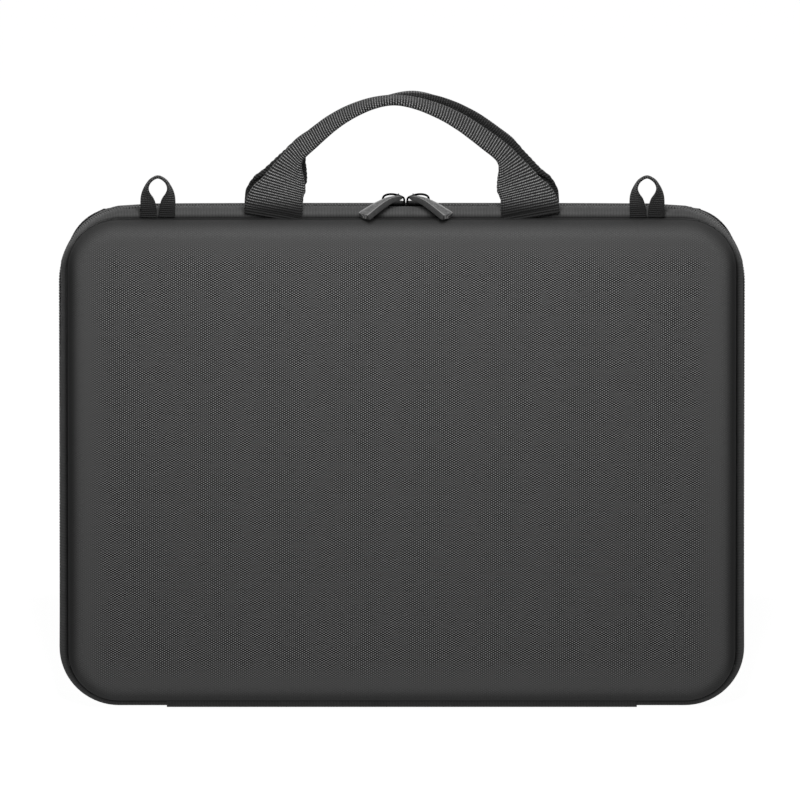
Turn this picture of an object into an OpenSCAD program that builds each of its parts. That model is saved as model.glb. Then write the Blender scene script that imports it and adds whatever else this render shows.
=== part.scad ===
// Hard laptop case: two moulded half shells closed by a zip on three sides
// and joined along the bottom by a fabric spine, with two webbing handles,
// two strap loops and two zip pulls that meet at the top.
// X runs along the spine, the front face looks towards -Y and Z is up.
// The case stands on its spine, with the origin on the floor below its middle.

/* [Case] */
// Width over the zip band
case_w = 350; // [340:1:370]
// Height from the spine to the top of the zip band, without the handles
case_h = 262; // [250:1:280]
// Thickness over both moulded faces
case_d = 42; // [42:1:50]
// Corner radius of the shell rim, seen from the front
rim_r = 26; // [24:1:30]
// Radius of the rounding between a face and its side walls
edge_r = 9; // [7:0.5:10]

/* [Shell layers] */
// Thickness of the woven outer skin
skin_t = 0.8; // [0.6:0.1:1]
// Thickness of the moulded foam core
core_t = 3.6; // [3:0.1:4]
// Thickness of the brushed inner lining
lining_t = 0.8; // [0.6:0.1:1]

/* [Zip band] */
// Distance from the middle of the zip to each shell rim
band_half = 10; // [10:0.5:11]
// How far the band stands out beyond the shell rim
band_bulge = 4.6; // [4.2:0.1:5]
// Thickness of the zip tape
tape_t = 0.9; // [0.8:0.05:1]
// Width of each row of coil teeth
coil_w = 2.6; // [2.4:0.1:2.8]
// Gap between the two rows of coil teeth, for the sliders' nose posts
coil_gap = 1.2; // [1.2:0.1:1.4]
// Length of the fabric spine
spine_l = 240; // [220:2:250]
// Distance between the two lines where the spine folds
spine_w = 12; // [11:0.5:13]

/* [Handles and loops] */
// Width of the handle webbing where it is sewn in
webbing_w = 29.5; // [28:0.5:30]
// Thickness of the handle webbing
webbing_t = 1.6; // [1.4:0.1:1.6]
// Distance between the middles of a handle's two ends
handle_span = 130.6; // [126:0.2:134]
// Height of the handle's middle above the zip band
handle_rise = 56.3; // [50:0.1:60]
// Distance of each strap loop from the middle of the case
loop_x = 124.8; // [120:0.2:128]
// Width of the strap loop ribbon
ribbon_w = 8.4; // [8:0.1:9]
// Thickness of the strap loop ribbon
ribbon_t = 1.3; // [1.1:0.1:1.4]

/* [Sliders and pulls] */
// Length of a slider along the zip
slider_l = 12; // [11:0.5:13]
// Width of a slider across the zip
slider_w = 9; // [8.5:0.5:9.5]
// Where the two sliders meet, measured from the middle of the case
meeting_x = 2; // [-4:0.5:4]
// Width of a pull tab at its square end
tab_w = 8.3; // [7.5:0.1:9]
// Thickness of a pull tab
tab_t = 3; // [2.5:0.1:3.2]

/* [Inside] */
// Width of the elastic straps across the corners
strap_w = 20; // [16:1:24]
// Height of the mesh pocket's mouth above the floor
pocket_top = 190; // [170:1:200]

/* [Hidden] */

// Outline of the shell rim, a rounded rectangle about the height mid_z
band_lift = 0.4;                              // floor to the lowest point of the zip
fit = 0.05;                                   // gap between pieces that lie on each other
mid_z = (case_h + band_lift) / 2;
rim_x = case_w / 2 - band_bulge;
rim_z = (case_h - band_lift) / 2 - band_bulge;
bend_x = rim_x - rim_r;                       // middles of the four corner bends
bend_z = rim_z - rim_r;
face = case_d / 2;                            // middle of the zip to a moulded face
bend_fn = 96;

// Layers of a shell, as distances in from its outside
core_in = skin_t + fit;
lining_in = core_in + core_t + fit;
inside = lining_in + lining_t;

// Sewn edge of the tape on the rim, and the bulge from there to the teeth
hem_out = 0.8;                                // rim outside to the start of the bulge
hem_w = 3.7;
tape_reach = band_half - fit - coil_gap / 2 - coil_w;
tape_rise = band_bulge + hem_out - 0.2;
coil_t = 2;
stop_l = 2.7;

// Fabric spine: a flat strip with a rolled hem of this radius on each fold line
spine_x = spine_l / 2;
hem_r = 0.6;
foot_out = 0.35;                              // fold line to the edge of the flat underside
fold_clear = 0.75;
spine_lining_t = 0.65;

// Binding tape along the inside of each rim
binding_t = 0.85;

colour_skin = [0.30, 0.30, 0.31];
colour_core = [0.16, 0.16, 0.17];
colour_lining = [0.24, 0.24, 0.25];
colour_tape = [0.27, 0.27, 0.28];
colour_coil = [0.12, 0.12, 0.13];
colour_webbing = [0.33, 0.33, 0.34];
colour_metal = [0.14, 0.14, 0.15];
colour_rubber = [0.45, 0.45, 0.46];
colour_elastic = [0.10, 0.10, 0.11];

// ---------------------------------------------------------------- placing

// Stands a half up with its face to the front; it is drawn face up about z = 0
module front_half() {
    translate([0, 0, mid_z]) rotate([90, 0, 0]) children();
}

module rear_half() {
    mirror([0, 1, 0]) front_half() children();
}

// Sections are drawn as [distance out from a bend's middle, distance from the zip]
module side(turn, reach, run) {
    rotate(turn) translate([reach, run / 2, 0]) rotate([90, 0, 0])
        linear_extrude(run) children();
}

module corner_bends() {
    bends = [[1, 1], [-1, 1], [-1, -1], [1, -1]];
    for (i = [0:3])
        translate([bends[i].x * bend_x, bends[i].y * bend_z, 0]) rotate(90 * i)
            rotate_extrude(angle = 90, $fn = bend_fn) children();
}

// Carries a section round the left, top and right of the case
module three_sides() {
    side(0, bend_x, 2 * bend_z) children();
    side(90, bend_z, 2 * bend_x) children();
    side(180, bend_x, 2 * bend_z) children();
    corner_bends() children();
}

module all_round() {
    three_sides() children();
    side(270, bend_z, 2 * bend_x) children();
}

// Goes round to both ends of the spine, and stops short of it
module round_to_spine(short) {
    three_sides() children();
    run = bend_x - spine_x - short;
    for (s = [-1, 1])
        translate([s * (bend_x - run / 2), 0, 0]) side(270, bend_z, run) children();
}

// ------------------------------------------------------------ half shells

// One side of a moulded half, this far inside its outer surface
module half_section(inset) {
    wall = rim_r - inset;
    bend_h = face - edge_r;
    translate([0, band_half]) square([wall, bend_h - band_half]);
    intersection() {
        union() {
            translate([0, band_half]) square([rim_r - edge_r, face - inset - band_half]);
            translate([rim_r - edge_r, bend_h]) circle(edge_r - inset, $fn = 64);
        }
        translate([0, band_half]) square([wall, face]);
    }
}

module shell_layer(outer, inner) {
    all_round() difference() {
        half_section(outer);
        half_section(inner);
    }
    translate([-bend_x, -bend_z, face - inner]) cube([2 * bend_x, 2 * bend_z, inner - outer]);
}

module skin() { shell_layer(0, skin_t); }
module core() { shell_layer(core_in, core_in + core_t); }
module lining() { shell_layer(lining_in, inside); }

// Bound edge that covers the raw rim and the sewn tape on the inside
module binding() {
    inner = rim_r - inside - fit;
    low = band_half - 2 * fit - tape_t - binding_t;
    high = face - edge_r - fit;
    all_round() polygon([[inner - binding_t, low], [rim_r - 2, low], [rim_r - 2, low + binding_t],
                         [inner, low + binding_t], [inner, high], [inner - binding_t, high]]);
}

// --------------------------------------------------------------- zip band

// Quarter of an oval from the rim (0 degrees) to the teeth (90 degrees)
function oval(wide, high, stop) = [for (a = [0:10:90]) if (a <= stop)
    [rim_r - hem_out + high * sin(a), band_half - fit - tape_reach + wide * cos(a)]];

function backwards(v) = [for (i = [len(v) - 1:-1:0]) v[i]];

// Tape from its sewn hem on the rim, out and over to the teeth
module tape_section() {
    hem_in = rim_r - hem_out - hem_w;
    polygon(concat([[hem_in, band_half - fit]], oval(tape_reach, tape_rise, 90),
                   backwards(oval(tape_reach - tape_t, tape_rise - tape_t, 90)),
                   [[hem_in, band_half - fit - tape_t]]));
}

module tape() { round_to_spine(0) tape_section(); }

module coil_section() {
    out = rim_r + band_bulge;
    near = coil_gap / 2;
    chamfer = 0.5;
    polygon([[out - coil_t, near + chamfer], [out - coil_t + chamfer, near],
             [out - chamfer, near], [out, near + chamfer], [out, near + coil_w],
             [out - coil_t, near + coil_w]]);
}

module coil() { round_to_spine(stop_l + fit) coil_section(); }

// Metal clips crimped on both ends of the teeth, beside the spine
module zip_stops() {
    for (s = [-1, 1])
        translate([s * (spine_x + stop_l / 2), 0, 0]) side(270, bend_z, stop_l - 2 * fit)
            coil_section();
}

// ------------------------------------------------------------------ spine

fold_y = spine_w / 2;

// Sewn edge of the spine cloth, from the rim down to the fold line
module spine_fold() {
    wide = band_half - fit - fold_y;
    rise = band_bulge + band_lift - hem_r + hem_out;
    middle = rim_r - hem_out;
    hem_in = middle - hem_w;
    function quarter(less) = [for (a = [0:13:78])
        [middle + (rise - less) * sin(a), fold_y + (wide - less) * cos(a)]];
    side(270, bend_z, spine_l) polygon(concat([[hem_in, band_half - fit]], quarter(0),
        backwards(quarter(tape_t)), [[hem_in, band_half - fit - tape_t]]));
}

module spine_cover() {
    color(colour_tape) {
        translate([-spine_x, -fold_y, 0]) cube([spine_l, spine_w, 2 * hem_r]);
        for (y = [-fold_y, fold_y])
            translate([-spine_x, y, hem_r]) rotate([0, 90, 0]) cylinder(spine_l, r = hem_r, $fn = 32);
        foot_y = fold_y + foot_out;
        translate([-spine_x, 0, 0]) rotate([90, 0, 90]) linear_extrude(spine_l)
            polygon([[-foot_y, 0], [foot_y, 0], [foot_y + 0.15, 0.45], [-foot_y - 0.15, 0.45]]);
    }
}

module spine_lining() {
    inset = fold_clear;
    color(colour_lining) translate([-spine_x, inset - fold_y, 2 * hem_r + fit])
        cube([spine_l, spine_w - 2 * inset, spine_lining_t]);
}

// ----------------------------------------------------------------- inside

// Room within the binding, between two distances from the zip
module within_rim(near, far) {
    gap = inside + binding_t + 2 * fit;
    translate([0, 0, near]) linear_extrude(far - near) {
        square([2 * bend_x, 2 * (rim_z - gap)], center = true);
        square([2 * (rim_x - gap), 2 * bend_z], center = true);
        for (x = [-bend_x, bend_x], z = [-bend_z, bend_z])
            translate([x, z]) circle(rim_r - gap, $fn = bend_fn);
    }
}

// Elastic strap sewn across one corner, clear of the lining
strap_level = band_half + 0.2;
strap_t = 1;
module corner_strap(sx, sz) {
    reach = 46;                               // corner of the rim to the strap, both ways
    color(colour_elastic) rear_half() intersection() {
        within_rim(strap_level, strap_level + strap_t);
        translate([sx * (rim_x - reach), sz * (rim_z - reach), strap_level + strap_t / 2])
            rotate(-45 * sx * sz) cube([4 * reach, strap_w, 2 * strap_t], center = true);
    }
}

panel_t = 0.8;
panel_level = band_half - 0.6;
hem_h = 10;

// Net panel of the pocket, sewn to the binding on three sides
module pocket_panel() {
    high = pocket_top - hem_h - fit - mid_z;
    color(colour_elastic) front_half() intersection() {
        within_rim(panel_level, panel_level + panel_t);
        translate([-rim_x, -rim_z, 0]) cube([2 * rim_x, rim_z + high, face]);
    }
}

// Elastic hem along the pocket's mouth
module pocket_hem() {
    thicker = 0.3;
    color(colour_elastic) front_half() intersection() {
        within_rim(panel_level - thicker, panel_level + panel_t + thicker);
        translate([-rim_x, pocket_top - hem_h - mid_z, 0]) cube([2 * rim_x, hem_h, face]);
    }
}

// ------------------------------------------------- straps swept from sections

ring_n = 12;

// Flat section with full edges, turned by roll out of the plane of the bend
function strap_ring(p, dir, w, t, roll) =
    let (across = [-sin(dir), 0, cos(dir)], deep = [0, 1, 0],
         wide = across * cos(roll) + deep * sin(roll),
         thick = across * sin(roll) - deep * cos(roll))
    [for (k = [0:ring_n - 1]) let (a = 360 * k / ring_n, c = cos(a), s = sin(a))
        p + wide * (w / 2 * sign(c) * sqrt(abs(c))) + thick * (t / 2 * sign(s) * sqrt(abs(s)))];

// Skin of triangles over a row of rings, closed at both ends
module swept(rings) {
    n = len(rings[0]);
    last = len(rings) - 1;
    walls = [for (i = [0:last - 1], k = [0:n - 1], h = [0, 1])
        let (a = i * n + k, b = i * n + (k + 1) % n)
        h == 0 ? [a, a + n, b] : [b, a + n, b + n]];
    caps = [for (k = [1:n - 2], e = [0, 1])
        e == 0 ? [0, k, k + 1] : [last * n, last * n + k + 1, last * n + k]];
    polyhedron(points = [for (r = rings) each r], faces = concat(walls, caps), convexity = 6);
}

// Smooth curve through a list of points, in equal steps between each pair
function curve(p, steps) = [for (i = [0:len(p) - 2], j = [0:steps - 1])
    let (t = j / steps, a = p[max(i - 1, 0)], b = p[i], c = p[i + 1], d = p[min(i + 2, len(p) - 1)])
    0.5 * (2 * b + (c - a) * t + (2 * a - 5 * b + 4 * c - d) * t * t
           + (3 * b - a - 3 * c + d) * t * t * t)];

// Both legs of a bow, from the points of its right leg upwards
function bow(leg) = concat([for (p = leg) mirrored(p)], [for (i = [len(leg) - 2:-1:0]) leg[i]]);
function mirrored(p) = [-p[0], p[1], p[2], p[3], p[4]];

// Rounding of a strap's end about the line it turns on, from the end upwards
function root(p) = [for (a = [-60, -30]) [p[0], p[1] + p[3] / 2 * sin(a), p[2], p[3] * cos(a), 0]];

// A strap that stands on the rim in a bow. Its points are distance from the
// middle, height above the zip, width, thickness and roll.
root_y = -(band_half + 0.95);                 // the line where a strap is sewn in
root_up = 1 - band_bulge;                     // its height above the zip
module strap_bow(leg, steps, lean, skew) {
    tip = leg[len(leg) - 1][1];
    end = root(leg[0]);
    path = concat([for (p = end) mirrored(p)], curve(bow(leg), steps), [leg[0]], backwards(end));
    last = len(path) - 1;
    rings = [for (i = [0:last])
        let (p = path[i], a = path[max(i - 1, 0)], b = path[min(i + 1, last)],
             up = max(p[1] - root_up, 0) / (tip - root_up),
             x = p[0] + skew * up * up, y = root_y + lean * up)
        strap_ring([x, y, case_h + p[1]], atan2(b[1] - a[1], b[0] - a[0]), p[2], p[3], p[4])];
    swept(rings);
}

grip_w = 10;
grip_t = 3.6;
handle_x = handle_span / 2;
handle_leg = [
    [handle_x, root_up, webbing_w, webbing_t, 0],
    [handle_x, 4, webbing_w - 0.5, webbing_t, 0],
    [0.968 * handle_x, 0.19 * handle_rise, 27, webbing_t + 0.2, 0],
    [0.91 * handle_x, 0.33 * handle_rise, 20.5, 2.6, 10],
    [0.835 * handle_x, 0.48 * handle_rise, 12, 3.4, 24],
    [0.72 * handle_x, 0.605 * handle_rise, grip_w, grip_t, 34],
    [0.58 * handle_x, 0.74 * handle_rise, grip_w, grip_t, 46],
    [0.42 * handle_x, 0.86 * handle_rise, grip_w, grip_t, 60],
    [0.23 * handle_x, 0.962 * handle_rise, grip_w, grip_t, 76],
    [0, handle_rise, grip_w, grip_t, 84]];
handle_lean = 5.2;
front_skew = -4;
rear_skew = 5;

module front_handle() {
    color(colour_webbing) strap_bow(handle_leg, 2, handle_lean, front_skew);
}

module rear_handle() {
    color(colour_webbing) mirror([0, 1, 0]) strap_bow(handle_leg, 2, handle_lean, rear_skew);
}

loop_rise = 17.2;
loop_half = 4.65;
loop_leg = [
    [loop_half, root_up, ribbon_w, ribbon_t, 0],
    [loop_half + 0.1, 0.4, ribbon_w - 0.2, ribbon_t, 0],
    [loop_half + 0.7, 4.6, 7.2, ribbon_t, 14],
    [loop_half + 1.2, 8.6, 6.6, ribbon_t, 56],
    [loop_half + 1, 12, 7, ribbon_t, 82],
    [3.7, 15.4, ribbon_w - 0.6, ribbon_t, 90],
    [0, loop_rise, ribbon_w - 0.4, ribbon_t, 90]];

module strap_loop(side) {
    color(colour_webbing) translate([side * loop_x, 0, 0]) strap_bow(loop_leg, 3, 0.4, 0);
}

// -------------------------------------------------------- sliders and pulls

// A slider's sizes, with x measured back from its nose
plate_t = 1.2;
plate_clear = 0.15;
plate_z = case_h + plate_clear + plate_t;     // top of the upper plate
under_z = case_h - coil_t - 0.5 - plate_t;    // bottom of the lower plate
nose_gap = 0.2;
wire_r = 0.5;
wire_bend = 2;
pin_z = plate_z + 3.9;                        // the bridge's straight top
bridge_l = 10;
bridge_x = 2;                                 // nose to the bridge's front leg
link_x = 4.7;
link_r = 1.95;
link_wire = 0.45;
link_off = 0.8;                               // link's middle from the bridge's middle
tab_down = 22.6;                              // slope of the hanging tab, seen from the side

module slider_plate(z) {
    nose_w = 0.72 * slider_w;
    shoulder = 0.35 * slider_l;
    translate([0, 0, z]) linear_extrude(plate_t)
        polygon([[0, -nose_w / 2 + 1], [1, -nose_w / 2], [shoulder, -slider_w / 2],
                 [slider_l - 1.5, -slider_w / 2], [slider_l, -slider_w / 2 + 1.5],
                 [slider_l, slider_w / 2 - 1.5], [slider_l - 1.5, slider_w / 2],
                 [shoulder, slider_w / 2], [1, nose_w / 2], [0, nose_w / 2 - 1]]);
}

// Wire arch over the upper plate that holds the pull
module slider_bridge() {
    leg_h = pin_z - wire_bend - plate_z;
    far = bridge_x + bridge_l;
    for (x = [bridge_x, far])
        translate([x, 0, plate_z - fit]) cylinder(leg_h + fit, r = wire_r, $fn = 24);
    translate([bridge_x + wire_bend, 0, pin_z - wire_bend]) rotate([90, 0, 0])
        rotate(90) rotate_extrude(angle = 90, $fn = 48) translate([wire_bend, 0])
            circle(wire_r, $fn = 24);
    translate([far - wire_bend, 0, pin_z - wire_bend]) rotate([90, 0, 0])
        rotate_extrude(angle = 90, $fn = 48) translate([wire_bend, 0]) circle(wire_r, $fn = 24);
    translate([bridge_x + wire_bend, 0, pin_z]) rotate([0, 90, 0])
        cylinder(bridge_l - 2 * wire_bend, r = wire_r, $fn = 24);
}

module slider_body() {
    post_t = coil_gap - 0.3;
    slider_plate(plate_z - plate_t);
    slider_plate(under_z);
    translate([0.5, -post_t / 2, under_z + plate_t])
        cube([3, post_t, plate_z - under_z - 2 * plate_t]);
    slider_bridge();
}

// Ring of wire that hangs on the bridge and is moulded into the tab
module link_ring(wire) {
    translate([link_x, -link_off * cos(tab_down), pin_z - link_off * sin(tab_down)])
        rotate([0, 90, 0]) rotate_extrude($fn = 48) translate([link_r, 0]) circle(wire, $fn = 24);
}

// Soft moulded tab, from the ring out, forwards and down over the band.
// Its points are place, width and how far the tab has turned to the front.
module tab_body() {
    start_w = 0.72 * tab_w;
    eye_y = -2.45;
    places = [[link_x - 1.2, eye_y, pin_z - 0.8, 0.8 * start_w, 10],
              [link_x - 0.3, eye_y - 0.8, pin_z - 0.9, start_w, 18],
              [link_x + 4.2, -7, pin_z - 1.7, start_w + 0.4, 30],
              [link_x + 9.6, -12.4, pin_z - 4, tab_w - 0.7, 45],
              [link_x + 15.4, -17.9, pin_z - 7.8, tab_w, 62]];
    path = concat(curve(places, 3), [places[len(places) - 1]]);
    last = len(path) - 1;
    rings = [for (i = [0:last])
        let (p = path[i], a = path[max(i - 1, 0)], b = path[min(i + 1, last)],
             ahead = [b.x - a.x, b.y - a.y, b.z - a.z], along = ahead / norm(ahead),
             level = [sin(p[4]), cos(p[4]), 0], out = level - along * (level * along),
             wide = out / norm(out), thick = cross(along, wide))
        [for (k = [0:ring_n - 1]) let (d = 360 * (k + 0.5) / ring_n, c = cos(d), s = sin(d))
            [p.x, p.y, p.z] + wide * (p[3] / 2 * sign(c) * sqrt(abs(c)))
                + thick * (tab_t / 2 * sign(s) * sqrt(abs(s)))]];
    swept(rings);
}

module pull_tab() {
    difference() {
        tab_body();
        link_ring(link_wire + fit);
    }
}

// Puts a slider or pull, drawn from its nose towards +X, on its own side
module on_zip(side) {
    translate([meeting_x, 0, 0]) mirror([side < 0 ? 1 : 0, 0, 0])
        translate([nose_gap / 2, 0, 0]) children();
}

// ------------------------------------------------------------------ nodes

module rear_skin() { color(colour_skin) rear_half() skin(); }
module rear_shell() { color(colour_core) rear_half() core(); }
module rear_lining() { color(colour_lining) rear_half() lining(); }
module rear_binding() { color(colour_tape) rear_half() binding(); }
module rear_tape() { color(colour_tape) rear_half() tape(); }
module rear_coil() { color(colour_coil) rear_half() coil(); }
module rear_zip_stops() { color(colour_metal) rear_half() zip_stops(); }
module rear_spine_fold() { color(colour_tape) rear_half() spine_fold(); }
module corner_strap_low_left() { corner_strap(-1, -1); }
module corner_strap_low_right() { corner_strap(1, -1); }
module corner_strap_top_left() { corner_strap(-1, 1); }
module corner_strap_top_right() { corner_strap(1, 1); }
module front_skin() { color(colour_skin) front_half() skin(); }
module front_shell() { color(colour_core) front_half() core(); }
module front_lining() { color(colour_lining) front_half() lining(); }
module front_binding() { color(colour_tape) front_half() binding(); }
module front_tape() { color(colour_tape) front_half() tape(); }
module front_coil() { color(colour_coil) front_half() coil(); }
module front_zip_stops() { color(colour_metal) front_half() zip_stops(); }
module front_spine_fold() { color(colour_tape) front_half() spine_fold(); }
module left_loop() { strap_loop(-1); }
module right_loop() { strap_loop(1); }
module left_slider() { color(colour_metal) on_zip(-1) slider_body(); }
module right_slider() { color(colour_metal) on_zip(1) slider_body(); }
module left_pull_link() { color(colour_metal) on_zip(-1) link_ring(link_wire); }
module right_pull_link() { color(colour_metal) on_zip(1) link_ring(link_wire); }
module left_pull_tab() { color(colour_rubber) on_zip(-1) pull_tab(); }
module right_pull_tab() { color(colour_rubber) on_zip(1) pull_tab(); }

rear_skin();
rear_shell();
rear_lining();
rear_binding();
rear_tape();
rear_coil();
rear_zip_stops();
rear_spine_fold();
corner_strap_low_left();
corner_strap_low_right();
corner_strap_top_left();
corner_strap_top_right();
spine_cover();
spine_lining();
front_skin();
front_shell();
front_lining();
front_binding();
front_tape();
front_coil();
front_zip_stops();
front_spine_fold();
pocket_panel();
pocket_hem();
front_handle();
rear_handle();
left_loop();
right_loop();
left_slider();
right_slider();
left_pull_link();
right_pull_link();
left_pull_tab();
right_pull_tab();
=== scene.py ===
import math

import bmesh
import bpy
from mathutils import Matrix, Vector


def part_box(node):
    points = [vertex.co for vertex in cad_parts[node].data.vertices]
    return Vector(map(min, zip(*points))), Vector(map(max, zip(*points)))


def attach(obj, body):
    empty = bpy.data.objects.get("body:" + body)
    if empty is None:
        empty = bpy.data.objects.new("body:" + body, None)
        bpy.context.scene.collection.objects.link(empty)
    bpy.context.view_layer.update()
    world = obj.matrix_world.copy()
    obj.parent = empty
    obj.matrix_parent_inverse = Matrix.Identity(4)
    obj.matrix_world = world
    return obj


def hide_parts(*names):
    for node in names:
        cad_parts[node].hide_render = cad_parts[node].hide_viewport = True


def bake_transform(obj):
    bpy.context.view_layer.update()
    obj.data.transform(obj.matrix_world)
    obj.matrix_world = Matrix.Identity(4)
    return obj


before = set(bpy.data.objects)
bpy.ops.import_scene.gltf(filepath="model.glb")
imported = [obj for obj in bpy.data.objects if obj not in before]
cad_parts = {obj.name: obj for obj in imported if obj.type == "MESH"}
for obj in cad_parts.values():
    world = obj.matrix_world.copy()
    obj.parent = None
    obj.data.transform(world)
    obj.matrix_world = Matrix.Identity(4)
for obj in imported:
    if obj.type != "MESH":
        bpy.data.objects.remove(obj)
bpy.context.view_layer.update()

# ------------------------------------------------------------------ foam cores
# Each half of the case is a tray of black foam, pressed hot into shape together with its cloth.
# The two trays are the frame's own solids. They show only where a lining or a skin ends.
mm = 0.001


def grey(level):
    """A grey from 0 to 255 as it looks in print, made linear."""
    linear = ((level / 255 + 0.055) / 1.055) ** 2.4
    return (linear, linear, linear, 1.0)


class Value:
    """A number, colour or vector in a finish. Sums with it add Math nodes to that finish."""

    def __init__(self, tree, socket=None):
        self.tree = tree
        self.socket = socket

    def node(self, kind, settings=None, sockets=None, out=0):
        """Adds a node to the finish: its settings first, then the values or links of its sockets."""
        made = self.tree.nodes.new("ShaderNode" + kind)
        for name, value in (settings or {}).items():
            setattr(made, name, value)
        for name, value in (sockets or {}).items():
            if isinstance(value, Value):
                self.tree.links.new(value.socket, made.inputs[name])
            else:
                made.inputs[name].default_value = value
        return Value(self.tree, made.outputs[out] if made.outputs else None)

    def out(self, name):
        return Value(self.tree, self.socket.node.outputs[name])

    def maths(self, operation, *values):
        return self.node("Math", {"operation": operation}, dict(enumerate(values)))

    def on_object(self):
        """The place of a point on its object, in metres."""
        return self.node("TexCoord").out("Object")

    def on_cloth(self):
        """The place of a point in the flat cloth, split into its axes."""
        return self.node("UVMap", {"uv_map": "Cloth"}).axes()

    def axes(self):
        """This place split into its axes, which out() then picks."""
        return self.node("SeparateXYZ", None, {0: self})

    def __add__(self, other):
        return self.maths("ADD", self, other)

    __radd__ = __add__

    def __sub__(self, other):
        return self.maths("SUBTRACT", self, other)

    def __rsub__(self, other):
        return self.maths("SUBTRACT", other, self)

    def __mul__(self, other):
        return self.maths("MULTIPLY", self, other)

    __rmul__ = __mul__

    def wave(self, length):
        """A wave of this length along a distance, from -1 to 1."""
        return self.maths("SINE", self * (2 * math.pi / length))

    def between(self, low, high):
        """0 below low, 1 above high and smooth between them."""
        limits = {"Value": self, "From Min": low, "From Max": high}
        return self.node("MapRange", {"interpolation_type": "SMOOTHSTEP"}, limits)

    def mixed(self, none, full):
        """The colour none where this is 0, and full where it is 1."""
        return self.node("Mix", {"data_type": "RGBA"}, {0: self, 6: none, 7: full}, out=2)

    def speckle(self, size, detail=2.0):
        """Cloudy noise on this place, its lumps about this many metres across."""
        return self.node("TexNoise", None, {"Vector": self, "Scale": 1 / size, "Detail": detail})


def new_finish(name):
    """An empty material, and the value that its nodes start from."""
    material = bpy.data.materials.new(name)
    material.use_nodes = True
    material.node_tree.nodes.clear()
    return material, Value(material.node_tree)


def close_finish(start, colour, roughness, height, fixed):
    """Ends a finish with its relief, in metres, and the shader with the values that don't vary."""
    bump = start.node("Bump", None, {"Height": height, "Strength": 1.0, "Distance": 1.0})
    sockets = {"Base Color": colour, "Roughness": roughness, "Normal": bump}
    shader = start.node("BsdfPrincipled", None, sockets | fixed)
    start.node("OutputMaterial", None, {"Surface": shader})


def foam_finish():
    foam, start = new_finish("pressed_foam")
    place = start.on_object()
    pores = start.node("TexVoronoi", None, {"Vector": place, "Scale": 1 / (0.7 * mm)})
    colour = place.speckle(14 * mm).mixed(grey(5), grey(14))
    close_finish(start, colour, 0.85, pores * (0.12 * mm), {"Specular IOR Level": 0.3})
    return foam


def dress_node(name, finish):
    """Gives a solid of the frame its finish, and leaves its shape alone."""
    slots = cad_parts[name].data.materials
    slots.clear()
    slots.append(finish)


foam = foam_finish()
for half in ("front", "rear"):
    dress_node(half + "_shell", foam)

# ----------------------------------------------------------------- outer skins
# The cover of each tray is one piece of grey cloth with a fine diamond weave, moulded with the
# foam: flat in front, rounded 9 mm to the sides and 26 mm at the corners. It is rolled in at the
# rim, where the zip tape is sewn on.
shell_low, shell_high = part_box("front_skin")
rim_x = shell_high.x
rim_z = (shell_high.z - shell_low.z) / 2
mid_z = (shell_high.z + shell_low.z) / 2
face_y = -shell_low.y
band_half = -shell_high.y
rim_r = 26 * mm
edge_r = 9 * mm
lip_r = 2.9 * mm
skin_t = 0.8 * mm
bend_x = rim_x - rim_r
bend_z = rim_z - rim_r


def from_bend(x, z):
    """How far a place in the case's outline lies out from the core of the corner bends, which way
    that is, and the nearest place on that core. The core is what is left inside the bends."""
    core = Vector((min(max(x, -bend_x), bend_x), min(max(z - mid_z, -bend_z), bend_z)))
    away = Vector((x, z - mid_z)) - core
    reach = away.length
    return reach, away / reach if reach > 1e-7 else Vector((0, 0)), core


def lay_cloth(made, flat_place):
    """Gives a mesh the map Cloth, in millimetres, from the flat place of each of its points."""
    cloth = made.loops.layers.uv.new("Cloth")
    for part in made.faces:
        for loop in part.loops:
            loop[cloth].uv = flat_place(loop.vert.co)


def set_shading(made, crease):
    """Shades a mesh smooth, apart from edges that turn by more than crease, in degrees."""
    for part in made.faces:
        part.smooth = True
    for edge in made.edges:
        edge.smooth = not edge.is_manifold or edge.calc_face_angle() < math.radians(crease)


def add_piece(name, made, finish, body, crease=50):
    """Turns a finished mesh into a piece that wears a finish and rides on a body."""
    set_shading(made, crease)
    mesh = bpy.data.meshes.new(name)
    made.to_mesh(mesh)
    made.free()
    mesh.materials.append(finish)
    piece = bpy.data.objects.new(name, mesh)
    bpy.context.scene.collection.objects.link(piece)
    if body:
        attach(piece, body)
    return piece


def thicken(piece, thickness, offset):
    """Gives a sheet its thickness, to the inside with an offset of -1."""
    wall = piece.modifiers.new("thickness", "SOLIDIFY")
    wall.thickness = thickness
    wall.offset = offset


def laid_grid(long, wide, place):
    """A grid of long by wide faces. place gives each crossing its point and its flat place."""
    made = bmesh.new()
    bmesh.ops.create_grid(made, x_segments=long, y_segments=wide, size=1)
    cloth = made.loops.layers.uv.new("Cloth")
    flat = {}
    for vert in made.verts:
        i = round((vert.co.x + 1) / 2 * long)
        k = round((vert.co.y + 1) / 2 * wide)
        vert.co, flat[vert] = place(i, k)
    for part in made.faces:
        for loop in part.loops:
            loop[cloth].uv = flat[loop.vert]
    return made


def flat_skin(place):
    """Where a point of the moulded skin lay in the flat cloth, measured from the face's middle."""
    reach, away, core = from_bend(place.x, place.z)
    depth = face_y - abs(place.y)
    flat_reach = rim_r - edge_r
    if reach <= flat_reach:
        run = reach
    elif depth < edge_r:
        run = flat_reach + edge_r * math.atan2(reach - flat_reach, edge_r - depth)
    else:
        run = flat_reach + edge_r * math.pi / 2 + depth - edge_r
    return (core + away * run) / mm


def bent(place):
    """How far the skin is bent back at a place: 0 in the flat face, 1 on the side walls."""
    reach = from_bend(place.x, place.z)[0] - rim_r + edge_r
    return min(max(math.atan2(reach, edge_r - face_y + abs(place.y)) / (math.pi / 2), 0), 1)


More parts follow.
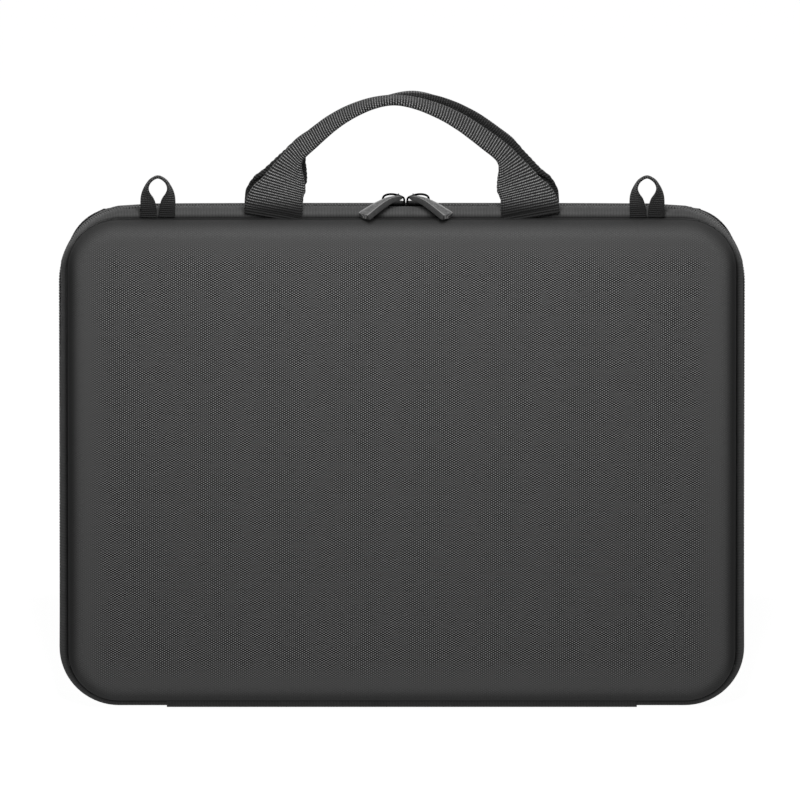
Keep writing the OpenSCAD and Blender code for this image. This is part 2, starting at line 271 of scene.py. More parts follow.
def skin_mesh(side):
    """One moulded skin, open towards the zip. side is -1 in front and 1 behind."""
    made = bmesh.new()
    deep = face_y - band_half
    bmesh.ops.create_cube(made, size=1)
    bmesh.ops.scale(made, vec=(2 * rim_x, deep, 2 * rim_z), verts=made.verts)
    bmesh.ops.translate(made, vec=(0, side * (band_half + deep / 2), mid_z), verts=made.verts)

    def level(y, edges):
        return [e for e in edges if all(abs(v.co.y - side * y) < 1e-6 for v in e.verts)]

    flat = set(level(band_half, made.edges)) | set(level(face_y, made.edges))
    corners = [e for e in made.edges if e not in flat]
    rounding = {"affect": "EDGES", "profile": 0.5, "material": -1, "clamp_overlap": False}
    bmesh.ops.bevel(made, geom=corners, offset=rim_r, segments=16, **rounding)
    bmesh.ops.bevel(made, geom=level(face_y, made.edges), offset=edge_r, segments=9, **rounding)
    bmesh.ops.bevel(made, geom=level(band_half, made.edges), offset=lip_r, segments=4, **rounding)
    open_side = [f for f in made.faces if len(f.verts) > 8 and side * f.normal.y < -0.9]
    bmesh.ops.delete(made, geom=open_side, context="FACES_ONLY")
    front = [f for f in made.faces if len(f.verts) > 8]
    bmesh.ops.inset_region(made, faces=front, thickness=1 * mm, use_even_offset=True)
    walls = [f for f in made.faces if abs(f.normal.y) < 1e-4]
    bmesh.ops.inset_region(made, faces=walls, thickness=0.7 * mm, use_even_offset=True)
    bmesh.ops.recalc_face_normals(made, faces=made.faces)
    if sum(f.normal.y * f.calc_area() for f in made.faces) * side < 0:
        bmesh.ops.reverse_faces(made, faces=made.faces)
    lay_cloth(made, flat_skin)
    bend_mark = made.verts.layers.float.new("bent")
    for vert in made.verts:
        vert[bend_mark] = bent(vert.co)
    return made


def diamond_finish():
    """Diamonds of crossing yarns, 2 mm wide and 1.2 mm high, clearer in some patches than others.
    Painted shade darkens the bends, the side walls and the rim along the zip.
    """
    woven, start = new_finish("diamond_weave")
    place = start.on_object()
    flat = start.on_cloth()
    wide, high = 2.01, 1.2
    crowns = flat.out("X").wave(wide) * (flat.out("Y") + high / 4).wave(high)
    # On the bends the weave is pressed smooth, and its colour is darkened as painted shade.
    pressed_and_shaded = start.node("Attribute", {"attribute_name": "bent"}).out("Fac").between(0.1, 0.8)
    worn = place.speckle(7 * mm, 2.0).between(0.3, 0.6)
    side_run = start.maths("ABSOLUTE", flat.out("X")).between(146, 162)
    up_run = start.maths("ABSOLUTE", flat.out("Y")).between(102, 118)
    inside = (1 - side_run) * (1 - up_run)
    yarn = place.speckle(0.35 * mm, 3.0)
    clear = (0.35 + 0.65 * worn) * (0.1 + 0.9 * inside)
    lit = 0.25 + clear * (crowns.between(0.2, 0.5) - 0.25) + 0.3 * (yarn - 0.5)
    colour = pressed_and_shaded.mixed(lit.mixed(grey(0), grey(172)), yarn.mixed(grey(40), grey(78)))
    axes = place.axes()
    from_zip = start.maths("ABSOLUTE", axes.out("Y"))
    from_side = rim_x - start.maths("ABSOLUTE", axes.out("X"))
    # Painted shade: the skin within 6 mm of the left and right rims is darkened.
    colour = from_side.between(-0.5 * mm, 6 * mm).mixed(grey(30), colour)
    # Painted shade: next to the zip rim, where the seam groove lies in shadow, the skin turns almost
    # black.
    colour = from_zip.between(band_half + 0.8 * mm, band_half + 3.2 * mm).mixed(grey(4), colour)
    relief = crowns * inside * (0.1 * mm) + yarn * (0.05 * mm)
    fixed = {"Specular IOR Level": 0.16, "Sheen Weight": 0.03, "Sheen Roughness": 0.5}
    close_finish(start, colour, 0.62 + 0.1 * yarn, relief, fixed)
    return woven


diamonds = diamond_finish()
for half, side in (("front", -1), ("rear", 1)):
    skin = add_piece(half + "_skin_cloth", skin_mesh(side), diamonds, half + "_half", 35)
    thicken(skin, skin_t, -1)
    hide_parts(half + "_skin")

# --------------------------------------------------------------------- linings
# Brushed knit cloth, glued to the inside of each foam tray. These are the frame's own solids.


def brushed_finish():
    brushed, start = new_finish("brushed_lining")
    place = start.on_object()
    nap = start.node("Mapping", None, {"Vector": place, "Scale": (1.0, 1.0, 0.25)}).speckle(0.8 * mm, 5.0)
    laid = place.speckle(60 * mm, 2.0)
    colour = (0.75 * nap + 0.25 * laid).mixed(grey(58), grey(104))
    fixed = {"Specular IOR Level": 0.2, "Sheen Weight": 0.5, "Sheen Roughness": 0.4}
    close_finish(start, colour, 0.9, nap * (0.25 * mm), fixed)
    return brushed


brushed = brushed_finish()
for half in ("front", "rear"):
    dress_node(half + "_lining", brushed)

# --------------------------------------------------------------------- binding
# A ribbed tape folded over the raw rim of each tray on the inside and sewn through. It covers the
# hem of the zip tape. These are the frame's own solids.


def binding_finish():
    ribbed, start = new_finish("ribbed_binding")
    place = start.on_object()
    axes = place.axes()
    ribs = (axes.out("X") + axes.out("Z")).wave(1.1 * mm)
    colour = (0.5 + 0.3 * ribs + 0.4 * (place.speckle(2 * mm) - 0.5)).mixed(grey(26), grey(50))
    close_finish(start, colour, 0.75, ribs * (0.06 * mm), {"Sheen Weight": 0.2})
    return ribbed


binding = binding_finish()
for half in ("front", "rear"):
    dress_node(half + "_binding", binding)

# ------------------------------------------------------------------- zip tapes
# Two strips of heavy woven tape stand out between the shells as a soft band. Each is sewn under
# the rim of its shell, swells 4.6 mm out of the seam and turns over to the row of teeth. It starts
# and ends beside the spine.
tape_low, tape_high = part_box("front_tape")
spine_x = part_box("spine_cover")[1].x
tape_t = 0.9 * mm
taut_r = 40 * mm
corner_run = 30 * mm
hem_out = 0.8 * mm
hem_w = 3.7 * mm
hem_h = -tape_low.y
teeth_side = -tape_high.y
top_steps = 16
bulge_wide = hem_h - teeth_side
bulge_high = tape_high.x - rim_x + hem_out


def bulge(less, steps):
    """Outline of the swelling from the seam to the teeth, as places (out from bend, from zip)."""
    for i in range(steps + 1):
        a = math.pi / 2 * i / steps
        out = rim_r - hem_out + (bulge_high - less) * math.sin(a) ** 0.9
        yield out, teeth_side + (bulge_wide - less) * math.cos(a) ** 0.8


def tape_outline():
    hem_in = rim_r - hem_out - hem_w
    outer = [(hem_in, hem_h)] + list(bulge(0, 18))
    inner = list(bulge(tape_t, 10))[::-1] + [(hem_in, hem_h - tape_t)]
    return outer + inner


def carried_round(outline, side, start_x):
    """Carries a closed outline from one end of the spine, round left, top and right, to the other.
    side is -1 in front and 1 behind."""
    made = bmesh.new()
    low = mid_z - bend_z
    ring = [made.verts.new((-start_x, side * from_zip, low - out)) for out, from_zip in outline]
    first = made.faces.new(ring)
    edges = list(first.edges)

    def run(edges, move):
        grown = bmesh.ops.extrude_edge_only(made, edges=edges)["geom"]
        new = [v for v in grown if isinstance(v, bmesh.types.BMVert)]
        bmesh.ops.translate(made, verts=new, vec=move)
        new = set(new)
        return [e for e in grown if isinstance(e, bmesh.types.BMEdge) and set(e.verts) <= new]

    def bend(edges, x, z):
        spun = bmesh.ops.spin(made, geom=edges, cent=(x, 0, mid_z + z), axis=(0, 1, 0),
                              dvec=(0, 0, 0), angle=math.pi / 2, steps=18, use_duplicate=False)
        return [e for e in spun["geom_last"] if isinstance(e, bmesh.types.BMEdge)]

    edges = run(edges, (start_x - bend_x, 0, 0))
    edges = bend(edges, -bend_x, -bend_z)
    edges = run(edges, (0, 0, 2 * bend_z))
    edges = bend(edges, -bend_x, bend_z)
    for _ in range(top_steps):
        edges = run(edges, (2 * bend_x / top_steps, 0, 0))
    edges = bend(edges, bend_x, bend_z)
    edges = run(edges, (0, 0, -2 * bend_z))
    edges = bend(edges, bend_x, -bend_z)
    edges = run(edges, (start_x - bend_x, 0, 0))
    bmesh.ops.contextual_create(made, geom=edges)
    bmesh.ops.recalc_face_normals(made, faces=made.faces)
    return made


def pull_taut(made):
    """Draws the band in at the upper corners, where the tape is stretched round a wider bend than
    the rim's, and lets it sink a little along the top on the way there."""
    seam = rim_r - hem_out
    crest = rim_r - hem_out + bulge_high
    wide = Vector((bend_x + crest - taut_r, bend_z + crest - taut_r))
    for vert in made.verts:
        reach, away, core = from_bend(vert.co.x, vert.co.z)
        if reach <= seam or core.y <= 0:
            continue
        flat = Vector((abs(core.x), core.y))
        way = Vector((abs(away.x), away.y))
        ahead = flat - wide
        left = 1 - 0.09 * max(way.y, 0) * min(flat.x / bend_x, 1) ** 3
        if min(flat + way * crest - wide) > 0:
            along = ahead.dot(way)
            taut = -along + math.sqrt(along * along - ahead.length_squared + taut_r * taut_r)
            left *= (taut - seam) / (crest - seam)
        vert.co += away.to_3d().xzy * (reach - seam) * (left - 1)


def run_along(x, z):
    """Distance round the band, in metres, from the left end of the spine over the top."""
    reach, away, core = from_bend(x, z)
    turned = math.atan2(-away.x, -away.y) % (2 * math.pi)
    if core.y <= -bend_z + 1e-9 and turned < 0.01:
        flat_run = -spine_x - core.x if x < 0 else 4 * bend_z + 3 * bend_x - spine_x + bend_x - core.x
        turned = 0 if x < 0 else 2 * math.pi
    else:
        start = bend_x - spine_x
        up = core.y + bend_z
        if away.x < 0 and away.y <= 0 or away.x < -0.999:
            flat_run = start + up
        elif away.x > 0 and away.y <= 0 or away.x > 0.999:
            flat_run = start + 2 * bend_z + 2 * bend_x + 2 * bend_z - up
        else:
            flat_run = start + 2 * bend_z + core.x + bend_x
    return flat_run + corner_run * turned


def flat_tape(place):
    """Where a point of a tape lay in the flat strip, along it and across it."""
    reach, away, core = from_bend(place.x, place.z)
    turn = math.atan2(reach - rim_r + hem_out, abs(place.y) - teeth_side)
    return run_along(place.x, place.z) / mm, 6.5 * turn


def tape_finish():
    """Matt woven tape with fine cross ribs, and painted shade where it dives into the seam."""
    woven, start = new_finish("zip_tape")
    place = start.on_object()
    flat = start.on_cloth()
    ribs = flat.out("X").wave(1.5)
    grain = place.speckle(0.5 * mm, 4.0)
    soft = place.speckle(9 * mm, 3.0)
    # Painted shade: near the hem, where the tape dives into the seam, it is darkened almost to black.
    seam = flat.out("Y").between(0.2, 3.4)
    lit = 0.4 + 0.14 * ribs + 0.7 * (grain - 0.5) + 0.5 * (soft - 0.5)
    colour = seam.mixed(grey(6), lit.mixed(grey(74), grey(108)))
    relief = ribs * (0.035 * mm) + grain * (0.1 * mm)
    fixed = {"Specular IOR Level": 0.25, "Sheen Weight": 0.15, "Sheen Roughness": 0.5}
    close_finish(start, colour, 0.8, relief, fixed)
    return woven


tape_cloth = tape_finish()
for half, side in (("front", -1), ("rear", 1)):
    made = carried_round(tape_outline(), side, spine_x)
    lay_cloth(made, flat_tape)
    pull_taut(made)
    tape = add_piece(half + "_tape_cloth", made, tape_cloth, half + "_half", 60)
    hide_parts(half + "_tape")

# ------------------------------------------------------------------- zip teeth
# A coil of nylon is sewn along the edge of each tape. Its turns show as small round teeth, 1.5 mm
# apart, which mesh with those of the other side. Near the top they stay clear of the sliders.
coil_low, coil_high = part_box("front_coil")
tooth_step = 1.5 * mm
tooth_w = 1.15 * mm
tooth_chamfer = 0.26
coil_reach = rim_r + coil_high.x - rim_x - 0.3 * mm
coil_t = 2 * mm
teeth_gap = -coil_high.y
mesh_in = 0.35 * mm
clear_x = 45 * mm


def rim_place(distance, out):
    """The place that lies this far round the band and this far out from the bends, with the way
    along the band there. It undoes run_along."""
    corner = corner_run * math.pi / 2
    legs = [(bend_x - spine_x, (-spine_x, -bend_z), (-1, 0)), (2 * bend_z, (-bend_x, -bend_z), (0, 1)),
            (2 * bend_x, (-bend_x, bend_z), (1, 0)), (2 * bend_z, (bend_x, bend_z), (0, -1)),
            (bend_x - spine_x, (bend_x, -bend_z), (-1, 0))]
    for length, begin, way in legs:
        way = Vector(way)
        if distance <= length:
            core = Vector(begin) + way * distance
            break
        distance -= length
        if distance < corner:
            core = Vector(begin) + way * length
            turned = distance / corner * math.pi / 2
            way = Vector((way.x * math.cos(turned) + way.y * math.sin(turned),
                          way.y * math.cos(turned) - way.x * math.sin(turned)))
            break
        distance -= corner
    away = Vector((-way.y, way.x))
    place = core + away * out
    return Vector((place.x, 0, place.y + mid_z)), Vector((way.x, 0, way.y))


def teeth_mesh(side):
    tooth = bmesh.new()
    bmesh.ops.create_cube(tooth, size=1)
    bmesh.ops.bevel(tooth, geom=tooth.edges, offset=tooth_chamfer, segments=1, affect="EDGES",
                    profile=0.5, material=-1)
    shape = bpy.data.meshes.new("tooth")
    tooth.to_mesh(shape)
    tooth.free()
    made = bmesh.new()
    total = run_along(spine_x, mid_z - bend_z - rim_r)
    stop_room = 3 * mm
    count = int((total - 2 * stop_room) / tooth_step)
    for i in range(count):
        phase = 0.5 if side > 0 else 0.0
        place, way = rim_place(stop_room + (i + phase) * tooth_step, coil_reach - coil_t / 2)
        open_run = abs(place.x) < clear_x and place.z > mid_z
        tip = teeth_gap if open_run else -mesh_in
        root = -coil_low.y
        before = len(made.verts)
        made.from_mesh(shape)
        made.verts.ensure_lookup_table()
        new = made.verts[before:]
        bmesh.ops.scale(made, verts=new, vec=(tooth_w, root - tip, coil_t))
        angle = math.atan2(-way.z, way.x)
        bmesh.ops.rotate(made, verts=new, cent=(0, 0, 0), matrix=Matrix.Rotation(angle, 3, "Y"))
        bmesh.ops.translate(made, verts=new, vec=place + Vector((0, side * (root + tip) / 2, 0)))
    bpy.data.meshes.remove(shape)
    pull_taut(made)
    return made


def nylon_finish():
    nylon, start = new_finish("coil_nylon")
    place = start.on_object()
    dust = place.speckle(6 * mm, 4.0)
    colour = dust.mixed(grey(60), grey(84))
    close_finish(start, colour, 0.42 + 0.2 * dust, place.speckle(0.6 * mm) * (0.03 * mm), {})
    return nylon


nylon = nylon_finish()
for half, side in (("front", -1), ("rear", 1)):
    teeth = add_piece(half + "_teeth", teeth_mesh(side), nylon, half + "_half", 25)
    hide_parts(half + "_coil")

# ------------------------------------------------------------------- zip stops
# Thin metal clips crimped over both ends of each row, painted black. The frame's own solids.


def painted_finish():
    """Black paint on pressed metal, a little worn to a lighter grey."""
    painted, start = new_finish("black_paint")
    place = start.on_object()
    rub = place.speckle(2.5 * mm, 4.0).between(0.6, 0.75)
    colour = rub.mixed(grey(12), grey(34))
    fixed = {"Specular IOR Level": 0.01}
    close_finish(start, colour, 0.45 + 0.15 * rub, place.speckle(0.4 * mm) * (0.01 * mm), fixed)
    return painted


paint = painted_finish()
for half in ("front", "rear"):
    dress_node(half + "_zip_stops", paint)

# ----------------------------------------------------------------------- spine
# One strip of the band's cloth closes the bottom and is the hinge. It is sewn under both rims,
# and folds along two lines 12 mm apart. It is made here in two halves that meet in the middle.
fold_y = 6 * mm
hem_roll = 0.6 * mm


def spine_outline():
    """Outline of half the spine cloth, from its hem under the rim to the middle of the strip."""
    wide = hem_h - fold_y
    rise = mid_z - bend_z - hem_roll - (rim_r - hem_out)
    hem_in = rim_r - hem_out - hem_w
    outer = [(hem_in, hem_h)]
    inner = [(hem_in, hem_h - tape_t)]
    for i in range(13):
        a = math.radians(80) * i / 12
        outer.append((rim_r - hem_out + rise * math.sin(a), fold_y + wide * math.cos(a)))
        inner.append((rim_r - hem_out + (rise - tape_t) * math.sin(a),
                      fold_y + (wide - tape_t) * math.cos(a)))
    floor = mid_z - bend_z
    for i in range(9):
        across = (fold_y + 0.3 * mm) * (1 - i / 8)
        outer.append((floor, across))
        inner.append((floor - 2 * hem_roll, min(across, fold_y - 0.3 * mm)))
    return outer + inner[::-1]


def spine_mesh(side):
    made = bmesh.new()
    low = mid_z - bend_z
    ring = [made.verts.new((-spine_x, side * across, low - out)) for out, across in spine_outline()]
    first = made.faces.new(ring)
    grown = bmesh.ops.extrude_face_region(made, geom=[first])["geom"]
    new = [v for v in grown if isinstance(v, bmesh.types.BMVert)]
    bmesh.ops.translate(made, verts=new, vec=(2 * spine_x, 0, 0))
    bmesh.ops.recalc_face_normals(made, faces=made.faces)
    lay_cloth(made, lambda place: (place.x / mm, (abs(place.y) + place.z) / mm + 3))
    return made


for half, side in (("front", -1), ("rear", 1)):
    cloth = add_piece(half + "_spine_cloth", spine_mesh(side), tape_cloth, None, 60)
    if side > 0:
        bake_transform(cloth)
        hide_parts("rear_spine_fold", "spine_cover")
    else:
        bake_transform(cloth)
        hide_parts("front_spine_fold")
dress_node("spine_lining", brushed)

# --------------------------------------------------------------- corner straps
# Four strips of ribbed elastic, 20 mm wide, sewn across the corners of the rear half to hold the
# laptop. They bow a little away from the lining between their two ends.


def strap_mesh_across(side_x, side_z):
    """A flat strip across a corner. Its ends are cut along the two rims that it is sewn to."""
    half = strap_w / 2
    middle = Vector((rim_x - strap_in, rim_z - strap_in))
    long_x = (room_x - middle.x) * math.sqrt(2)
    long_z = (room_z - middle.y) * math.sqrt(2)

    def place(i, k):
        across = (2 * k / strap_wide_steps - 1) * half
        share = i / strap_long_steps
        along = -(long_z - across) * (1 - share) + (long_x - across) * share
        x = middle.x + (along + across) / math.sqrt(2)
        z = middle.y + (across - along) / math.sqrt(2)
        sunk = 0.8 * mm * math.sin(math.pi * share) + 0.25 * mm * math.cos(math.pi * across / strap_w)
        point = Vector((side_x * x, strap_y + sunk, mid_z + side_z * z))
        return point, (along / mm, across / mm)

    made = laid_grid(strap_long_steps, strap_wide_steps, place)
    bmesh.ops.recalc_face_normals(made, faces=made.faces)
    return made


def elastic_finish():
    """Black elastic with cords along it and a fine cross weave."""
    elastic, start = new_finish("ribbed_elastic")
    place = start.on_object()
    flat = start.on_cloth()
    cords = flat.out("Y").wave(2.2)
    weave = flat.out("X").wave(0.9)
    lit = 0.5 + 0.3 * cords + 0.2 * weave + 0.5 * (place.speckle(0.8 * mm, 3.0) - 0.5)
    close_finish(start, lit.mixed(grey(22), grey(64)), 0.7, cords * (0.1 * mm) + weave * (0.04 * mm),
                 {"Sheen Weight": 0.2})
    return elastic


inside_gap = 6.3 * mm
room_x = rim_x - inside_gap
room_z = rim_z - inside_gap
strap_in = 46 * mm
strap_long_steps = 60
strap_wide_steps = 8
strap_w = 20 * mm
strap_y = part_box("corner_strap_low_left")[0].y + 0.4 * mm
elastic = elastic_finish()
for name, side_x, side_z in (("low_left", -1, -1), ("low_right", 1, -1), ("top_left", -1, 1),
                             ("top_right", 1, 1)):
    made = strap_mesh_across(side_x, side_z)
    strap = add_piece("corner_elastic_" + name, made, elastic, "rear_half", 60)
    thicken(strap, 0.8 * mm, 0)
    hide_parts("corner_strap_" + name)

# ------------------------------------------------------------------ net pocket
# A knitted net over the lower two thirds of the front half, sewn to the binding on three sides. Its
# meshes are diamonds 4 mm wide. A ruched elastic hem, 10 mm high, draws in the mouth.
mesh_side = 4 * mm / math.sqrt(2)
thread = 0.6 * mm
panel_low, panel_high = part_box("pocket_panel")
panel_y = (panel_low.y + panel_high.y) / 2
bag_out = 1.4 * mm
net_count = 168


def net_mesh():
    made = bmesh.new()
    half = net_count * mesh_side / 2
    bmesh.ops.create_grid(made, x_segments=net_count, y_segments=net_count, size=half)
    for angle, axis in ((math.pi / 4, "Z"), (math.pi / 2, "X")):
        turned = Matrix.Rotation(angle, 3, axis)
        bmesh.ops.rotate(made, verts=made.verts, cent=(0, 0, 0), matrix=turned)
    middle_z = (panel_low.z + panel_high.z) / 2
    bmesh.ops.translate(made, vec=(0, panel_y, middle_z), verts=made.verts)
    cuts = [((room_x, 0, 0), (1, 0, 0)), ((-room_x, 0, 0), (-1, 0, 0)),
            ((0, 0, panel_low.z), (0, 0, -1)), ((0, 0, panel_high.z), (0, 0, 1))]
    corner = Vector((bend_x, 0, mid_z - bend_z))
    for degrees in (22.5, 45, 67.5):
        a = math.radians(degrees)
        for side in (-1, 1):
            way = Vector((side * math.sin(a), 0, -math.cos(a)))
            centre = Vector((side * corner.x, 0, corner.z))
            cuts.append((centre + way * (rim_r - inside_gap), way))
    for place, way in cuts:
        geom = list(made.verts) + list(made.edges) + list(made.faces)
        bmesh.ops.bisect_plane(made, geom=geom, dist=1e-6, plane_co=place, plane_no=way,
                               clear_outer=True)
    for vert in made.verts:
        up = (vert.co.z - panel_low.z) / (panel_high.z - panel_low.z)
        vert.co.y -= bag_out * math.cos(math.pi * vert.co.x / 2 / room_x) * math.sin(math.pi * up)
    bmesh.ops.wireframe(made, faces=made.faces, thickness=thread, use_replace=True, use_boundary=True,
                        use_even_offset=False)
    bmesh.ops.recalc_face_normals(made, faces=made.faces)
    return made


def hem_mesh():
    """The elastic hem: an oval band whose cloth is gathered into small upright folds."""
    low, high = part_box("pocket_hem")
    steps, sides = 420, 14
    middle = (low + high) / 2

    def place(i, k):
        a = 2 * math.pi * k / sides
        share = i / steps
        folds = math.sin(2 * math.pi * share * 82) + 0.5 * math.sin(2 * math.pi * share * 47 + 1)
        deep = 0.5 * mm + 0.11 * mm * folds
        tall = 4.8 * mm + 0.12 * mm * folds
        x = room_x * (2 * share - 1)
        out = math.copysign(abs(math.sin(a)) ** 0.5, math.sin(a))
        return Vector((x, middle.y + deep * math.cos(a), middle.z + tall * out)), (x / mm, k)

    made = laid_grid(steps, sides, place)
    bmesh.ops.remove_doubles(made, verts=made.verts, dist=1e-7)
    bmesh.ops.holes_fill(made, edges=[e for e in made.edges if e.is_boundary])
    bmesh.ops.recalc_face_normals(made, faces=made.faces)
    return made


def knit_finish(name, dark, light):
    knit, start = new_finish(name)
    place = start.on_object()
    threads = place.axes().out("X").wave(0.8 * mm)
    fuzz = place.speckle(0.5 * mm, 3.0)
    colour = (0.4 + 0.3 * threads + 0.6 * (fuzz - 0.3)).mixed(grey(dark), grey(light))
    close_finish(start, colour, 0.75, threads * (0.05 * mm) + fuzz * (0.06 * mm), {"Sheen Weight": 0.2})
    return knit


net = add_piece("pocket_net", net_mesh(), knit_finish("net_thread", 26, 58), "front_half", 50)
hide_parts("pocket_panel")
hem = add_piece("pocket_elastic", hem_mesh(), knit_finish("ruched_elastic", 22, 70),
                "front_half", 70)
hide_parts("pocket_hem")

# --------------------------------------------------------------------- handles
# Each handle is 30 mm webbing, woven with strong cross ribs. Its ends are sewn flat into the seam.
# A little higher both edges fold behind, and the grip is a roll 9 mm wide that turns over at the
# top.
case_top = rim_z + mid_z + 4.6 * mm
root_y = -(band_half + 0.95 * mm)
root_up = -3.6 * mm
strap_lead = 0.5 * mm
rib_pitch = 1.35 * mm
webbing_half = 14.75 * mm
webbing_t = 1.6 * mm
fold_r = 0.95 * mm
handle_lean = 5.2 * mm
handle_leg = [
    (65.6 * mm, root_up, 29.5 * mm, 0, 10),
    (65.2 * mm, 0.6 * mm, 29.2 * mm, 0, 12),
    (63.2 * mm, 8.2 * mm, 25.2 * mm, 0, 14),
    (59.7 * mm, 13 * mm, 21.6 * mm, 3, 17),
    (56.9 * mm, 19.4 * mm, 15.6 * mm, 8, 25),
    (55.3 * mm, 23.8 * mm, 11.2 * mm, 13, 34),
    (53.4 * mm, 27.6 * mm, 9.2 * mm, 20, 44),
    (50.6 * mm, 30.7 * mm, 8.9 * mm, 27, 52),
    (45.2 * mm, 35 * mm, 9 * mm, 36, 55),
    (38.6 * mm, 40.1 * mm, 9 * mm, 45, 58),
    (32.2 * mm, 44.6 * mm, 8.9 * mm, 53, 61),
    (23.1 * mm, 49.7 * mm, 8.8 * mm, 64, 67),
    (11.5 * mm, 54.2 * mm, 8.8 * mm, 77, 78),
    (0, 56 * mm, 8.8 * mm, 84, 90)]


def smoothed(rows, steps):
    """Rows of numbers with steps smooth ones between each two."""
    fine = []
    for i in range(len(rows) - 1):
        near = (rows[max(i - 1, 0)], rows[i], rows[i + 1], rows[min(i + 2, len(rows) - 1)])
        for j in range(steps):
            t = j / steps
            fine.append([0.5 * (2 * b + (c - a) * t + (2 * a - 5 * b + 4 * c - d) * t * t
                                + (3 * b - a - 3 * c + d) * t * t * t) for a, b, c, d in zip(*near)])
    return fine + [list(rows[-1])]


def bow_path(leg, step):
    """Even steps along a bow that stands on the rim, from its left end to its right. Each is
    (place from the middle, height, width, roll, lean of the run from upright to the right)."""
    foot = (leg[0][0], leg[0][1] - strap_lead, *leg[0][2:])
    leg = [foot] + leg
    rows = [(-x, *rest) for x, *rest in leg] + [(*rest, 180 - lean) for *rest, lean in leg[-2::-1]]
    fine = smoothed(rows, 30)
    path = [fine[0]]
    gone = 0
    for a, b in zip(fine, fine[1:]):
        part = math.dist(a[:2], b[:2])
        while gone + part >= step * len(path):
            share = (step * len(path) - gone) / part
            path.append([p + (q - p) * share for p, q in zip(a, b)])
        gone += part
    return path


def folded(across, wide, cloth_half, curl_r):
    """Where a thread of the strap lies in its cross section, as (across, towards the outside).
    The strap is wide across, and what is left of the cloth is folded behind it."""
    hidden = max(cloth_half - wide / 2, 0)
    curl = min((hidden / (0.57 * curl_r)) ** (1 / 3), 1)
    flat_half = wide / 2 - curl_r * curl
    spare = max(cloth_half - flat_half - math.pi * curl_r, 1e-9)
    flap = min(spare, flat_half - 0.3 * mm)
    way = math.copysign(1, across)
    across = abs(across)
    if across <= flat_half:
        return way * across, curl_r * curl
    turned = (across - flat_half) / curl_r
    if turned <= math.pi:
        out = flat_half + curl_r * math.sin(turned)
        return way * out, curl_r * (curl - 1 + math.cos(turned))
    behind = (across - flat_half - math.pi * curl_r) / spare * flap
    return way * (flat_half - behind), curl_r * (curl - 2)


def strap_mesh(leg, cloth_half, curl_r, lean, skew, strands, swell):
    """A strap in a bow, as a sheet without thickness that is folded behind itself."""
    step = 0.45 * mm
    path = bow_path(leg, step)
    tip = leg[-1][1]
    deep = Vector((0, 1, 0))

    def place(i, k):
        along, height, wide, roll, run_lean = path[i]
        half = cloth_half or wide / 2
        u = (2 * k / strands - 1) * half
        across, out = folded(u, wide, half, curl_r)
        run_lean = math.radians(run_lean)
        roll = math.radians(roll)
        level = Vector((-math.cos(run_lean), 0, math.sin(run_lean)))
        side_way = level * math.cos(roll) + deep * math.sin(roll)
        out_way = level * math.sin(roll) - deep * math.cos(roll)
        rise = max(height - root_up, 0)
        up = rise / (tip - root_up)
        belly = swell * math.sin(math.pi * min(rise / (20 * mm), 1))
        middle = Vector((along + skew * up * up, root_y + lean * up - belly, case_top + height))
        return middle + side_way * across + out_way * out, (i * step / mm, u / mm)

    return laid_grid(len(path) - 1, strands, place)


def webbing_finish(name, light, pitch, behind):
    """Ribs of thick cross yarn, lighter on their crowns and darker in the grooves as painted shade.
    The side that faces the other half is darkened as painted shade, with behind as the way it
    faces, and so is the part that goes down into the seam."""
    webbing, start = new_finish(name)
    around = start.node("TexCoord")
    place = around.out("Object")
    flat = start.on_cloth()
    crown = flat.out("X").wave(pitch)
    strands = (flat.out("Y") + flat.out("X") * 0.3).wave(0.9)
    fuzz = place.speckle(0.5 * mm, 3.0)
    # Painted shade: the rib crowns are lighter and the grooves between them darker. The strands and fuzz
    # are the yarn's own tone.
    lit = (crown + 0.4 * strands + 2.2 * (fuzz - 0.5)).between(0.05, 1.3)
    # Painted shade: the side that faces the other half and the part that goes down into the seam are
    # darkened almost to black.
    facing = around.out("Normal").axes().out("Y") * behind
    height = place.axes().out("Z") - case_top
    seen = (1 - 0.85 * facing.between(0.1, 0.6)) * (0.04 + 0.96 * height.between(-1 * mm, 8.5 * mm))
    colour = (lit * seen).mixed(grey(15), grey(light))
    relief = crown * (0.14 * mm) + strands * (0.05 * mm) + fuzz * (0.08 * mm)
    fixed = {"Specular IOR Level": 0.3, "Sheen Weight": 0.15, "Sheen Roughness": 0.4}
    close_finish(start, colour, 0.72, relief, fixed)
    return webbing


for half, side, skew in (("front", -1, -4 * mm), ("rear", 1, 5 * mm)):
    made = strap_mesh(handle_leg, webbing_half, fold_r, handle_lean, skew, 28, 1 * mm)
    if side > 0:
        bmesh.ops.scale(made, vec=(1, -1, 1), verts=made.verts)
        bmesh.ops.reverse_faces(made, faces=made.faces)
    webbing = webbing_finish(half + "_webbing", 168, rib_pitch / mm, -side)
    handle = add_piece(half + "_handle_webbing", made, webbing, None, 80)
    thicken(handle, webbing_t, 0)
    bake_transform(handle)
    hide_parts(half + "_handle")

# ----------------------------------------------------------------- strap loops
# Two loops of narrow ribbon, sewn into the front seam for a shoulder strap's hooks. Both ends lie
# side by side, and the ribbon turns edge on over the eye.
ribbon_t = 1 * mm
loop_half = 4.65 * mm
loop_leg = [
    (loop_half, root_up, 8.4 * mm, 0, 0),
    (loop_half + 0.1 * mm, 0.4 * mm, 8.2 * mm, 0, -4),
    (loop_half + 0.7 * mm, 4.6 * mm, 7.2 * mm, 14, -8),
    (loop_half + 1.4 * mm, 8.6 * mm, 5.6 * mm, 50, -4),
    (loop_half + 0.9 * mm, 12 * mm, 4.2 * mm, 76, 14),
    (3.6 * mm, 15.1 * mm, 3.6 * mm, 86, 42),
    (0, 16.9 * mm, 3.4 * mm, 90, 90)]

